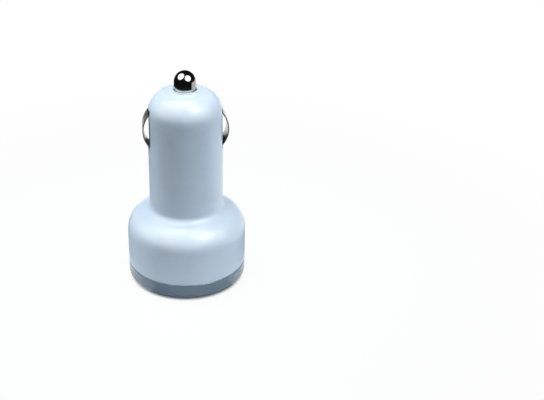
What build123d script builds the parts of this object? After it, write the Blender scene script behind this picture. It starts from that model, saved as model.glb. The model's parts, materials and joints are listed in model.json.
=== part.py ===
"""Car charger plug with two stacked ports, built as an assembly of separate pieces.

Millimetres. The plug stands on its port face at z = 0 with its axis on Z and the sprung tip up.
X runs across the ports. Y points from the board towards the tops of the ports.
"""
import os
from math import cos, radians, sqrt, tan

from build123d import *

os.makedirs("parts", exist_ok=True)

# Body shell
HEAD_DIA = 33.5
BARREL_DIA = 20.6
BODY_WALL = 1.8
SHOULDER_OVERLAP = 2.7
SHOULDER_RISE = 6.6
NECK_FILLET = 2.2
NOSE_START = 49.5
NOSE_RISE = 6.75
NOSE_FLAT_DIA = 9.4
NOSE_INNER_CORNER = 3.5
LIP_WIDTH = 0.4
LIP_RISE = 0.45
SEAM_CHAMFER = 0.15
RAIL_WIDTH = 1.8
RAIL_DEPTH = 1.1
RAIL_AFTER_RIVET = 3.0
RAIL_BELOW_SLOT = 0.6
UPPER_RAIL_DEPTH = 0.4
POCKET_CLEAR = 0.2

# End cap
CAP_BAND = 5.1
FACE_THICK = 2.0
FACE_ROUND = 2.0
SKIRT_WALL = 1.3
SKIRT_REACH = 4.6
SKIRT_CLEAR = 0.1
LUG_WIDTH = 3.0
LUG_HEIGHT = 1.0
LUG_PROUD = 0.4
LUG_RISE = 3.0
NOTCH_WIDTH = 3.0
WINDOW_CLEAR = 0.15
STOP_RIB_WIDTH = 1.4
STOP_RIB_GAP = 0.8

# Sprung tip
TIP_DIA = 6.0
TIP_PROUD = 5.6
TIP_CLEAR = 0.15
TIP_FLANGE_DIA = 8.4
TIP_FLANGE_THICK = 1.0
TIP_STUD_LENGTH = 2.0
STUD_CLEAR = 0.25
STOP_GAP = 0.05
COIL_DIA = 4.7
COIL_WIRE = 0.5
COIL_TURNS = 6
COIL_LENGTH = 7.65
SEAT_WIDTH = 6.4
SEAT_REACH = 3.2
TERMINAL_SHEET = 0.4
TERMINAL_LEG = 4.5
TERMINAL_CUT = 3.6

# Side springs
SPRING_WIDTH = 5.0
SPRING_SHEET = 0.3
SLOT_GAP = 0.4
SLOT_ROOM_BELOW = 1.4
SLOT_ROOM_ABOVE = 1.2
SLOT_CORNER = 0.6
BOW_PROUD = 1.45
BOW_SINK = 0.3
BOW_PAST_NOSE = 0.8
BOW_SPAN = 9.2
BOW_ANGLE = 34.0
BOW_STEP = 0.9
BEND_RADIUS = 0.6
LEG_CLEAR = 0.3
TAIL_LENGTH = 1.1
RIVET_RISE = 2.8
RIVET_INSET = 1.9
RIVET_DIA = 1.5
RIVET_HEAD_DIA = 2.7
RIVET_HEAD = 0.4
FOOT_LENGTH = 3.6
PIVOT_CLEAR = 0.1
SLIDE_CLEAR = 0.05

# Port connector
USB_WIDTH = 14.2
USB_DEPTH = 17.0
USB_SHEET = 0.3
USB_FOLD = 0.6
PORT_OFFSET = 4.0
PORT_RECESS = 0.3
PORT_PITCH = 8.65
PORT_HEIGHT = 5.05
PORT_SLACK = 0.1
BLOCK_DEPTH = 5.0
TONGUE_WIDTH = 11.1
TONGUE_THICK = 1.84
TONGUE_DROP = 0.7
TONGUE_RECESS = 1.0
SHIELD_RECESS = 0.3
SHIELD_LIP_GAP = 0.55
CONTACT_WIDTH = 0.8
CONTACT_SHEET = 0.25
CONTACT_BULGE = 0.45
CONTACT_FRONT = 0.8
CONTACT_PLACES = (-3.5, -1.0, 1.0, 3.5)
LOWER_ROW_BACK = 3.5
UPPER_ROW_BACK = 1.3
DIMPLE_RADIUS = 0.6
DIMPLE_PLACE = 3.1
DIMPLE_BACK = 2.4
LEG_WIDTH = 1.6
FRONT_LEG = 5.0
BACK_LEG = 3.4
PIN_PROUD = 0.8

# Circuit board
BOARD_THICK = 1.2
BOARD_FRONT = 3.0
BOARD_SKIRT_GAP = 0.4
BOARD_STEP_BACK = 0.9
BOARD_PAST_SEAT = 0.4
BOARD_EDGE_GAP = 0.25
BOARD_CORNER = 0.8
LEAD_DIA = 0.5
LEAD_CLEAR = 0.15
PIN_HOLE_DIA = 1.1

# Parts on the board
CAPACITOR_DIA = 6.3
CAPACITOR_LIFT = 0.05
CAPACITOR_PITCH = 2.5
OUTPUT_CAN_GAP = 2.3
OUTPUT_CAN_LENGTH = 7.7
INPUT_CAN_GAP = 2.1
INPUT_CAN_LENGTH = 9.0
LEAD_STEP = 1.2
INDUCTOR_DIA = 8.4
INDUCTOR_HEIGHT = 6.0
INDUCTOR_FLANGE = 1.0
INDUCTOR_POST_DIA = 4.0
INDUCTOR_PIN_GAP = 1.0
WINDING_INSET = 0.3
CHIP_LENGTH = 4.9
CHIP_WIDTH = 3.9
CHIP_HEIGHT = 1.5
CHIP_BEHIND = 6.9
CHIP_LEAD_PITCH = 1.27
CHIP_LEAD_WIDTH = 0.45
CHIP_LEAD_REACH = 1.0
DIODE_SIZE = (2.6, 2.2, 4.3)
DIODE_BEHIND = 13.6
FUSE_SIZE = (2.6, 2.5, 6.0)
FUSE_FROM_END = 6.0
RESISTOR_SIZE = (1.25, 0.5, 2.0)
RESISTOR_INSETS = (2.0, 4.2)
RESISTORS_BEHIND = 2.9
CERAMIC_SIZE = (1.6, 1.1, 3.2)
CERAMIC_INSET = 2.4
CERAMICS_BEHIND = 12.2
ROW_STEP = 4.7
END_RESISTORS_BEHIND = 16.1
END_RESISTOR_STEP = 2.8
LAMP_DIA = 3.0
LAMP_FLANGE_DIA = 3.8
LAMP_FLANGE = 1.0
LAMP_LENGTH = 5.3
LAMP_FACE_GAP = 0.25
LAMP_LEAD_PITCH = 2.54

# Derived places, ports first: the head is made to suit them
usb_height = PORT_PITCH + PORT_HEIGHT + 2 * USB_SHEET + PORT_SLACK
usb_front = PORT_RECESS
usb_back = usb_front + USB_DEPTH
usb_in_width = USB_WIDTH - 2 * USB_SHEET
usb_floor = PORT_OFFSET - usb_height / 2
usb_ceiling = PORT_OFFSET + usb_height / 2 - USB_SHEET
block_front = usb_back - BLOCK_DEPTH
block_back = usb_back - USB_SHEET
port_ceilings = {"upper": usb_ceiling, "lower": usb_ceiling - PORT_PITCH}
contact_rows = {"upper": usb_back - UPPER_ROW_BACK, "lower": usb_back - LOWER_ROW_BACK}
leg_rows = (usb_front + FRONT_LEG, usb_back - BACK_LEG)

head_r = HEAD_DIA / 2
barrel_r = BARREL_DIA / 2
head_bore_r = head_r - BODY_WALL
bore_r = barrel_r - BODY_WALL
head_top = usb_back - SHOULDER_OVERLAP
neck_z = head_top + SHOULDER_RISE
nose_flat_r = NOSE_FLAT_DIA / 2
nose_top = NOSE_START + NOSE_RISE
nose_ceiling = nose_top - BODY_WALL
tip_r = TIP_DIA / 2
tip_hole_r = tip_r + TIP_CLEAR
lip_r = tip_hole_r + LIP_WIDTH
skirt_r = head_bore_r - SKIRT_CLEAR
skirt_in_r = skirt_r - SKIRT_WALL
skirt_top = CAP_BAND + SKIRT_REACH
lug_z = CAP_BAND + LUG_RISE

flange_top = nose_ceiling - STOP_GAP
flange_under = flange_top - TIP_FLANGE_THICK
stud_r = COIL_DIA / 2 - COIL_WIRE - STUD_CLEAR
seat_z = flange_under - COIL_LENGTH

board_top = usb_floor
board_under = board_top - BOARD_THICK
board_wide = 2 * (sqrt(skirt_in_r**2 - board_under**2) - BOARD_SKIRT_GAP)
board_narrow = 2 * (sqrt(bore_r**2 - board_under**2) - BOARD_EDGE_GAP)
board_wide_end = usb_back - BOARD_STEP_BACK
board_end = seat_z + BOARD_PAST_SEAT

bow_high = NOSE_START + BOW_PAST_NOSE
bow_low = bow_high - BOW_SPAN
slot_high = bow_high + SLOT_ROOM_ABOVE
slot_low = bow_low - SLOT_ROOM_BELOW
foot_y = board_top + SLIDE_CLEAR
leg_x = sqrt(bore_r**2 - board_top**2) - LEG_CLEAR - SPRING_SHEET / 2
rivet_x = leg_x - RIVET_INSET
rivet_z = neck_z + RIVET_RISE
rail_start = rivet_z + RAIL_AFTER_RIVET
rail_end = slot_low - RAIL_BELOW_SLOT

output_can_start = usb_back + OUTPUT_CAN_GAP
input_can_start = output_can_start + OUTPUT_CAN_LENGTH + INPUT_CAN_GAP
can_axis = board_top + CAPACITOR_DIA / 2 + CAPACITOR_LIFT
inductor_z = contact_rows["lower"] - INDUCTOR_PIN_GAP - INDUCTOR_DIA / 2
chip_z = usb_back + CHIP_BEHIND
# The lamp stands midway between the ports and the cap's skirt
lamp_axis = board_top + LAMP_FLANGE_DIA / 2 + CAPACITOR_LIFT
lamp_x = -(USB_WIDTH / 2 + sqrt(skirt_in_r**2 - lamp_axis**2)) / 2
lamp_front = FACE_THICK + LAMP_FACE_GAP
lamp_hole_z = lamp_front + LAMP_LENGTH + LAMP_FLANGE + LEAD_STEP


# Where a box sits on its place: on its back face, under its top, or beside it
ON_BACK = (Align.CENTER, Align.CENTER, Align.MIN)
FROM_BACK = (Align.CENTER, Align.CENTER, Align.MAX)
ON_FLOOR = (Align.CENTER, Align.MIN, Align.CENTER)
UNDER_TOP = (Align.CENTER, Align.MAX, Align.CENTER)


def save(piece, name):
    """Label one finished piece and write it to its own file."""
    piece.part.label = name
    export_step(piece.part, f"parts/{name}.step")


def circle_edges(piece, radius, height):
    """Circular edges of one radius at one height."""
    round_edges = piece.edges().filter_by(GeomType.CIRCLE)
    return [e for e in round_edges if abs(e.radius - radius) < 0.01 and abs(e.center().Z - height) < 0.01]


# Body shell: one moulding, open at the head, with a hole in the nose and a slot on each side
with BuildPart() as body_shell:
    with BuildSketch(Plane.XZ):
        with BuildLine():
            Polyline((head_bore_r, head_top), (head_bore_r, CAP_BAND), (head_r, CAP_BAND), (head_r, head_top))
            EllipticalCenterArc((barrel_r, head_top), head_r - barrel_r, SHOULDER_RISE, arc_size=90)
            Line((barrel_r, neck_z), (barrel_r, NOSE_START))
            EllipticalCenterArc((nose_flat_r, NOSE_START), barrel_r - nose_flat_r, NOSE_RISE, arc_size=90)
            Polyline(
                (nose_flat_r, nose_top),
                (lip_r, nose_top),
                (lip_r, nose_top + LIP_RISE),
                (tip_hole_r, nose_top + LIP_RISE),
                (tip_hole_r, nose_ceiling),
                (bore_r - NOSE_INNER_CORNER, nose_ceiling),
            )
            CenterArc(
                (bore_r - NOSE_INNER_CORNER, nose_ceiling - NOSE_INNER_CORNER), NOSE_INNER_CORNER, 0, 90
            )
            Line((bore_r, nose_ceiling - NOSE_INNER_CORNER), (bore_r, neck_z - BODY_WALL))
            EllipticalCenterArc(
                (bore_r, head_top), head_bore_r - bore_r, SHOULDER_RISE - BODY_WALL, arc_size=90
            )
        make_face()
    revolve(axis=Axis.Z)
    fillet(circle_edges(body_shell, barrel_r, neck_z), NECK_FILLET)
    chamfer(circle_edges(body_shell, head_r, CAP_BAND), SEAM_CHAMFER)
    fillet(circle_edges(body_shell, lip_r, nose_top + LIP_RISE), LIP_WIDTH / 3)
    # Groove for the cap's snap lugs
    with BuildSketch(Plane.XZ):
        with Locations((head_bore_r, lug_z)):
            Rectangle(2 * (LUG_PROUD + SKIRT_CLEAR), LUG_HEIGHT + 2 * SKIRT_CLEAR)
    revolve(axis=Axis.Z, mode=Mode.SUBTRACT)
    # Slots for the side springs
    with BuildSketch(Plane.YZ):
        with Locations((0, (slot_low + slot_high) / 2)):
            RectangleRounded(SPRING_WIDTH + 2 * SLOT_GAP, slot_high - slot_low, SLOT_CORNER)
    extrude(amount=head_r, both=True, mode=Mode.SUBTRACT)
    # Room for the corners of the ports under the shoulder
    with BuildSketch():
        with Locations((0, PORT_OFFSET)):
            Rectangle(USB_WIDTH + 2 * POCKET_CLEAR, usb_height + 2 * POCKET_CLEAR)
    extrude(amount=usb_back + POCKET_CLEAR, mode=Mode.SUBTRACT)
    # Rails under and over the board's edges
    rail_z = (rail_start + rail_end) / 2
    for rail_low, rail_depth in ((board_under - RAIL_DEPTH, RAIL_DEPTH), (board_top, UPPER_RAIL_DEPTH)):
        rail_x = sqrt(bore_r**2 - (rail_low + rail_depth / 2) ** 2)
        with Locations([(side * rail_x, rail_low, rail_z) for side in (-1, 1)]):
            Box(RAIL_WIDTH, rail_depth, rail_end - rail_start, align=ON_FLOOR)
save(body_shell, "body_shell")

# End cap: clear cup with a face, an outer band and a skirt that snaps into the head
with BuildPart() as end_cap:
    with BuildSketch(Plane.XZ):
        with BuildLine():
            Polyline(
                (0, 0),
                (head_r, 0),
                (head_r, CAP_BAND),
                (skirt_r, CAP_BAND),
                (skirt_r, skirt_top),
                (skirt_in_r, skirt_top),
                (skirt_in_r, FACE_THICK),
                (0, FACE_THICK),
                close=True,
            )
        make_face()
    revolve(axis=Axis.Z)
    fillet(circle_edges(end_cap, head_r, 0), FACE_ROUND)
    chamfer(circle_edges(end_cap, head_r, CAP_BAND), SEAM_CHAMFER)
    # Notches that let the skirt give, between the snap lugs
    with PolarLocations(skirt_r, 4, 45):
        with Locations((0, 0, (CAP_BAND + skirt_top) / 2)):
            Box(4 * SKIRT_WALL, NOTCH_WIDTH, SKIRT_REACH, mode=Mode.SUBTRACT)
    with PolarLocations(skirt_r, 4):
        with Locations((0, 0, lug_z)):
            Box(2 * LUG_PROUD, LUG_WIDTH, LUG_HEIGHT)
    # Ribs that stop the board's front edge
    rib_x = (USB_WIDTH + STOP_RIB_WIDTH) / 2 + STOP_RIB_GAP
    with Locations([(side * rib_x, board_top - BOARD_THICK / 2, FACE_THICK) for side in (-1, 1)]):
        Box(STOP_RIB_WIDTH, 2 * BOARD_THICK, BOARD_FRONT - FACE_THICK, align=ON_BACK)
    # Window for the ports, clear through the skirt as well
    with BuildSketch():
        with Locations((0, PORT_OFFSET)):
            RectangleRounded(
                USB_WIDTH + 2 * WINDOW_CLEAR, usb_height + 2 * WINDOW_CLEAR, USB_FOLD + WINDOW_CLEAR
            )
    extrude(amount=skirt_top, mode=Mode.SUBTRACT)
save(end_cap, "end_cap")

# Tip: turned pin with a domed end, a stop flange and a stud for the coil
with BuildPart() as tip_pin:
    dome_z = nose_top + TIP_PROUD - tip_r
    with BuildSketch(Plane.XZ):
        with BuildLine():
            CenterArc((0, dome_z), tip_r, 0, 90)
            Polyline(
                (tip_r, dome_z),
                (tip_r, flange_top),
                (TIP_FLANGE_DIA / 2, flange_top),
                (TIP_FLANGE_DIA / 2, flange_under),
                (stud_r, flange_under),
                (stud_r, flange_under - TIP_STUD_LENGTH),
                (0, flange_under - TIP_STUD_LENGTH),
                (0, dome_z + tip_r),
            )
        make_face()
    revolve(axis=Axis.Z)
save(tip_pin, "tip_pin")

# Coil spring between the tip's flange and its seat
with BuildPart() as tip_spring:
    coil_height = COIL_LENGTH - COIL_WIRE
    with BuildLine() as coil_path:
        coil_base = (0, 0, seat_z + COIL_WIRE / 2)
        Helix(coil_height / COIL_TURNS, coil_height, (COIL_DIA - COIL_WIRE) / 2, coil_base)
    with BuildSketch(Plane(origin=coil_path.line @ 0, z_dir=coil_path.line % 0)):
        Circle(COIL_WIRE / 2)
    sweep(path=coil_path.line, is_frenet=True)
save(tip_spring, "tip_spring")

# Tip terminal: bent plate, its two legs on the board and its seat under the coil
with BuildPart() as tip_terminal:
    with BuildSketch(Plane.YZ):
        with BuildLine() as bent:
            FilletPolyline(
                (board_top + TERMINAL_SHEET / 2, seat_z - TERMINAL_LEG),
                (board_top + TERMINAL_SHEET / 2, seat_z - TERMINAL_SHEET / 2),
                (SEAT_REACH, seat_z - TERMINAL_SHEET / 2),
                radius=TERMINAL_SHEET,
            )
        trace(bent.line, TERMINAL_SHEET)
    extrude(amount=SEAT_WIDTH / 2, both=True)
    with Locations((0, board_top, seat_z - 3 * TERMINAL_SHEET)):
        Box(TERMINAL_CUT, 4 * TERMINAL_SHEET, TERMINAL_LEG, align=FROM_BACK, mode=Mode.SUBTRACT)
    # Raised button that keeps the coil central
    with Locations((0, 0, seat_z)):
        Cylinder(COIL_DIA / 2 - 2 * COIL_WIRE, COIL_WIRE, align=ON_BACK)
save(tip_terminal, "tip_terminal")

# Side springs: leg up the barrel, bow through the slot, tail tucked back behind the wall
bow_x = barrel_r - BOW_SINK
bow_half = BOW_SPAN / 2
bow_rise = barrel_r + BOW_PROUD - SPRING_SHEET / 2 - bow_x
bow_corner = bow_x + bow_half * tan(radians(BOW_ANGLE))
bow_radius = (bow_corner - bow_x - bow_rise) / (1 / cos(radians(BOW_ANGLE)) - 1)
foot_end = rivet_x - RIVET_HEAD_DIA / 2
for side, side_name in ((-1, "left"), (1, "right")):
    with BuildPart() as side_spring:
        with BuildSketch(Plane.XZ):
            with BuildLine() as leaf:
                FilletPolyline(
                    (side * leg_x, rivet_z - FOOT_LENGTH / 2),
                    (side * leg_x, bow_low - BOW_STEP),
                    (side * bow_x, bow_low),
                    (side * bow_corner, (bow_low + bow_high) / 2),
                    (side * bow_x, bow_high),
                    (side * leg_x, bow_high + BOW_STEP),
                    (side * leg_x, bow_high + BOW_STEP + TAIL_LENGTH),
                    radius=(BEND_RADIUS, BEND_RADIUS, bow_radius, BEND_RADIUS, BEND_RADIUS),
                )
            trace(leaf.line, SPRING_SHEET)
        extrude(amount=SPRING_WIDTH / 2, both=True)
        # Web down to the board and the foot that lies on it
        with Locations((side * leg_x, foot_y, rivet_z)):
            Box(SPRING_SHEET, -foot_y, FOOT_LENGTH, align=ON_FLOOR)
        with Locations((side * (foot_end + leg_x) / 2, foot_y, rivet_z)):
            Box(leg_x - foot_end, SPRING_SHEET, FOOT_LENGTH, align=ON_FLOOR)
        with Locations(Location((side * rivet_x, foot_y + SPRING_SHEET / 2, rivet_z), (90, 0, 0))):
            Cylinder(RIVET_DIA / 2 + PIVOT_CLEAR, 2 * SPRING_SHEET, mode=Mode.SUBTRACT)
    save(side_spring, f"side_spring_{side_name}")

    # Rivet through the foot and the board
    with BuildPart() as spring_rivet:
        shank_end = foot_y + SPRING_SHEET + SLIDE_CLEAR
        with BuildSketch(Plane.XZ.offset(-(shank_end + RIVET_HEAD))):
            with Locations((side * rivet_x, rivet_z)):
                Circle(RIVET_HEAD_DIA / 2)
        extrude(amount=RIVET_HEAD)
        fillet(spring_rivet.edges().group_by(Axis.Y)[-1], RIVET_HEAD / 2)
        with BuildSketch(Plane.XZ.offset(-shank_end)):
            with Locations((side * rivet_x, rivet_z)):
                Circle(RIVET_DIA / 2)
        extrude(amount=shank_end - board_under)
        with BuildSketch(Plane.XZ.offset(-board_under)):
            with Locations((side * rivet_x, rivet_z)):
                Circle(RIVET_HEAD_DIA / 2)
        extrude(amount=RIVET_HEAD)
    save(spring_rivet, f"spring_rivet_{side_name}")

# Port shell: bent sheet round both ports, closed at the back, with legs through the board
with BuildPart() as usb_shell:
    with BuildSketch(Plane.XY.offset(usb_front)):
        with Locations((0, PORT_OFFSET)):
            RectangleRounded(USB_WIDTH, usb_height, USB_FOLD)
    extrude(amount=USB_DEPTH)
    with BuildSketch(Plane.XY.offset(usb_front)):
        with Locations((0, PORT_OFFSET)):
            RectangleRounded(usb_in_width, usb_height - 2 * USB_SHEET, USB_FOLD - USB_SHEET)
    extrude(amount=USB_DEPTH - USB_SHEET, mode=Mode.SUBTRACT)
    # The floor is open behind the ports, where the contacts go down to the board
    with Locations((0, usb_floor, block_front)):
        Box(usb_in_width, 4 * USB_SHEET, block_back - block_front, align=ON_BACK, mode=Mode.SUBTRACT)
    leg_drop = BOARD_THICK + PIN_PROUD + USB_FOLD
    for row in leg_rows:
        for side in (-1, 1):
            with Locations((side * (USB_WIDTH - USB_SHEET) / 2, usb_floor + USB_FOLD, row)):
                Box(USB_SHEET, leg_drop, LEG_WIDTH, align=UNDER_TOP)
    # Grip dimples in the floor
    dimple_z = usb_front + DIMPLE_BACK
    with Locations([(side * DIMPLE_PLACE, usb_floor + USB_SHEET, dimple_z) for side in (-1, 1)]):
        Sphere(DIMPLE_RADIUS, arc_size1=0, rotation=(-90, 0, 0))
save(usb_shell, "usb_shell")

# Middle shield: one folded sheet that is the lower port's ceiling and the upper port's floor
upper_floor = port_ceilings["upper"] - PORT_HEIGHT
with BuildPart() as usb_middle_shield:
    with BuildSketch(Plane.YZ):
        with BuildLine() as fold:
            FilletPolyline(
                (upper_floor - USB_SHEET / 2, usb_front + SHIELD_RECESS),
                (upper_floor - USB_SHEET / 2, block_front - USB_SHEET / 2),
                (port_ceilings["lower"] + USB_SHEET / 2, block_front - USB_SHEET / 2),
                (port_ceilings["lower"] + USB_SHEET / 2, usb_front + SHIELD_RECESS + USB_SHEET / 2),
                (upper_floor - USB_SHEET - SHIELD_LIP_GAP, usb_front + SHIELD_RECESS + USB_SHEET / 2),
                radius=USB_SHEET,
            )
        trace(fold.line, USB_SHEET)
    extrude(amount=usb_in_width / 2, both=True)
    with Locations([(side * DIMPLE_PLACE, upper_floor, dimple_z) for side in (-1, 1)]):
        Sphere(DIMPLE_RADIUS, arc_size1=0, rotation=(-90, 0, 0))
save(usb_middle_shield, "usb_middle_shield")

# Contacts: sprung strip under each tongue, then a leg down through the board
contacts = []
for row_name, ceiling in port_ceilings.items():
    strip_y = ceiling - TONGUE_DROP - TONGUE_THICK + CONTACT_SHEET / 2
    strip_z = usb_front + TONGUE_RECESS + CONTACT_FRONT
    for number, place in enumerate(CONTACT_PLACES, start=1):
        with BuildPart() as usb_contact:
            with BuildSketch(Plane.YZ.offset(place)):
                with BuildLine() as strip:
                    FilletPolyline(
                        (strip_y, strip_z),
                        (strip_y - CONTACT_BULGE, strip_z + 5 * CONTACT_BULGE),
                        (strip_y, strip_z + 10 * CONTACT_BULGE),
                        (strip_y, contact_rows[row_name]),
                        (board_under - PIN_PROUD, contact_rows[row_name]),
                        radius=CONTACT_SHEET,
                    )
                trace(strip.line, CONTACT_SHEET)
            extrude(amount=CONTACT_WIDTH / 2, both=True)
        save(usb_contact, f"usb_contact_{row_name}_{number}")
        contacts.append(usb_contact.part)

# Insulator: block at the back with the two tongues, grooved for the contacts
with BuildPart() as usb_insulator:
    with Locations((0, board_top, block_front)):
        block_size = (usb_in_width, usb_ceiling - board_top, block_back - block_front)
        Box(*block_size, align=(Align.CENTER, Align.MIN, Align.MIN))
    fillet(usb_insulator.edges().filter_by(Axis.Z).group_by(Axis.Y)[-1], USB_FOLD - USB_SHEET)
    for ceiling in port_ceilings.values():
        with Locations((0, ceiling - TONGUE_DROP, usb_front + TONGUE_RECESS)):
            tongue_length = block_front - usb_front - TONGUE_RECESS
            Box(TONGUE_WIDTH, TONGUE_THICK, tongue_length, align=(Align.CENTER, Align.MAX, Align.MIN))
    for contact in contacts:
        add(contact, mode=Mode.SUBTRACT)
save(usb_insulator, "usb_insulator")

# Circuit board: wide in the head, narrow in the barrel
can_holes = [
    (side * CAPACITOR_PITCH / 2, start - LEAD_STEP)
    for start in (output_can_start, input_can_start)
    for side in (-1, 1)
]
lamp_holes = [(lamp_x + side * LAMP_LEAD_PITCH / 2, lamp_hole_z) for side in (-1, 1)]
with BuildPart() as circuit_board:
    with BuildSketch(Plane.XZ.offset(-board_top)) as outline:
        with Locations((0, (BOARD_FRONT + board_wide_end) / 2)):
            Rectangle(board_wide, board_wide_end - BOARD_FRONT)
        with Locations((0, (BOARD_FRONT + board_end) / 2)):
            Rectangle(board_narrow, board_end - BOARD_FRONT)
        fillet(outline.vertices(), BOARD_CORNER)
        with Locations([(place, row) for row in contact_rows.values() for place in CONTACT_PLACES]):
            Circle(PIN_HOLE_DIA / 2, mode=Mode.SUBTRACT)
        with Locations(can_holes + lamp_holes):
            Circle(LEAD_DIA / 2 + LEAD_CLEAR, mode=Mode.SUBTRACT)
        with Locations([(side * rivet_x, rivet_z) for side in (-1, 1)]):
            Circle(RIVET_DIA / 2 + SLIDE_CLEAR, mode=Mode.SUBTRACT)
        with Locations([(side * (USB_WIDTH - USB_SHEET) / 2, row) for row in leg_rows for side in (-1, 1)]):
            Rectangle(USB_SHEET + 2 * LEAD_CLEAR, LEG_WIDTH + 2 * LEAD_CLEAR, mode=Mode.SUBTRACT)
    extrude(amount=BOARD_THICK)
save(circuit_board, "circuit_board")

# Can capacitors lying on the board, with bent leads
for can_name, can_start, can_length in (
    ("output_capacitor", output_can_start, OUTPUT_CAN_LENGTH),
    ("input_capacitor", input_can_start, INPUT_CAN_LENGTH),
):
    with BuildPart() as can:
        with BuildSketch(Plane.XY.offset(can_start)):
            with Locations((0, can_axis)):
                Circle(CAPACITOR_DIA / 2)
        extrude(amount=can_length)
        fillet(can.edges().filter_by(GeomType.CIRCLE), LEAD_DIA)
        # Crimp near the leads
        with Locations((0, can_axis, can_start + 3 * LEAD_DIA)):
            Torus(CAPACITOR_DIA / 2 + LEAD_DIA / 2, LEAD_DIA, mode=Mode.SUBTRACT)
        for side in (-1, 1):
            with BuildLine() as lead:
                FilletPolyline(
                    (side * CAPACITOR_PITCH / 2, can_axis, can_start + LEAD_DIA),
                    (side * CAPACITOR_PITCH / 2, can_axis, can_start - LEAD_STEP),
                    (side * CAPACITOR_PITCH / 2, board_under - PIN_PROUD, can_start - LEAD_STEP),
                    radius=LEAD_DIA,
                )
            with BuildSketch(Plane(origin=lead.line @ 0, z_dir=lead.line % 0)):
                Circle(LEAD_DIA / 2)
            sweep(path=lead.line)
    save(can, can_name)

# Inductor under the board: spool core and its winding
inductor_top = board_under
spool_gap = INDUCTOR_HEIGHT - 2 * INDUCTOR_FLANGE
with BuildPart() as inductor_core:
    for start, length, radius in (
        (0, INDUCTOR_FLANGE, INDUCTOR_DIA / 2),
        (INDUCTOR_FLANGE, spool_gap, INDUCTOR_POST_DIA / 2),
        (INDUCTOR_FLANGE + spool_gap, INDUCTOR_FLANGE, INDUCTOR_DIA / 2),
    ):
        with BuildSketch(Plane.XZ.offset(-inductor_top + start)):
            with Locations((0, inductor_z)):
                Circle(radius)
        extrude(amount=length)
save(inductor_core, "inductor_core")

with BuildPart() as inductor_winding:
    with BuildSketch(Plane.XZ.offset(-inductor_top + INDUCTOR_FLANGE)):
        with Locations((0, inductor_z)):
            Circle(INDUCTOR_DIA / 2 - WINDING_INSET)
            Circle(INDUCTOR_POST_DIA / 2, mode=Mode.SUBTRACT)
    extrude(amount=spool_gap)
save(inductor_winding, "inductor_winding")

# Converter chip under the board, with its bent leads
with BuildPart() as converter_chip:
    chip_lift = LEAD_CLEAR
    with Locations((0, board_under - chip_lift, chip_z)):
        Box(CHIP_WIDTH, CHIP_HEIGHT, CHIP_LENGTH, align=UNDER_TOP)
    chamfer(converter_chip.edges().filter_by(Axis.Z).group_by(Axis.Y)[0], CHIP_HEIGHT / 5)
    lead_y = board_under - chip_lift - CHIP_HEIGHT / 2
    lead_sheet = LEAD_CLEAR
    for side in (-1, 1):
        for number in range(4):
            lead_z = chip_z + (number - 1.5) * CHIP_LEAD_PITCH
            with BuildSketch(Plane.XY.offset(lead_z)):
                with BuildLine() as chip_lead:
                    FilletPolyline(
                        (side * (CHIP_WIDTH / 2 - lead_sheet), lead_y),
                        (side * (CHIP_WIDTH / 2 + CHIP_LEAD_REACH / 2), lead_y),
                        (side * (CHIP_WIDTH / 2 + CHIP_LEAD_REACH / 2), board_under - lead_sheet / 2),
                        (side * (CHIP_WIDTH / 2 + CHIP_LEAD_REACH), board_under - lead_sheet / 2),
                        radius=lead_sheet,
                    )
                trace(chip_lead.line, lead_sheet)
            extrude(amount=CHIP_LEAD_WIDTH / 2, both=True)
save(converter_chip, "converter_chip")


def terminal_block(size, place, along_z):
    """Small two-ended part under the board: a body with slightly larger metal ends."""
    width, height, length = size
    end = length / 6
    swell = LEAD_CLEAR / 3
    turn = 0 if along_z else 90
    with BuildPart() as block:
        with Locations(Location((place[0], board_under, place[1]), (0, turn, 0))):
            with Locations((0, -swell, 0)):
                Box(width, height - swell, length, align=UNDER_TOP)
            for side in (-1, 1):
                with Locations((0, 0, side * (length - end) / 2)):
                    Box(width + 2 * swell, height + swell, end, align=UNDER_TOP)
    return block


board_half = board_narrow / 2
edge_x = board_half - CERAMIC_INSET
front_row = usb_back + RESISTORS_BEHIND
resistor_places = [(side * (board_half - inset), front_row) for side in (-1, 1) for inset in RESISTOR_INSETS]
for step in range(2):
    resistor_places.append((edge_x, usb_back + END_RESISTORS_BEHIND + step * END_RESISTOR_STEP))
ceramic_row = usb_back + CERAMICS_BEHIND
ceramic_places = [(-edge_x, ceramic_row), (edge_x, ceramic_row), (-edge_x, ceramic_row + ROW_STEP)]
save(terminal_block(DIODE_SIZE, (0, usb_back + DIODE_BEHIND), False), "rectifier_diode")
save(terminal_block(FUSE_SIZE, (0, board_end - FUSE_FROM_END), True), "input_fuse")
for number, place in enumerate(resistor_places, start=1):
    save(terminal_block(RESISTOR_SIZE, place, True), f"resistor_{number}")
for number, place in enumerate(ceramic_places, start=1):
    save(terminal_block(CERAMIC_SIZE, place, True), f"ceramic_capacitor_{number}")

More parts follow.
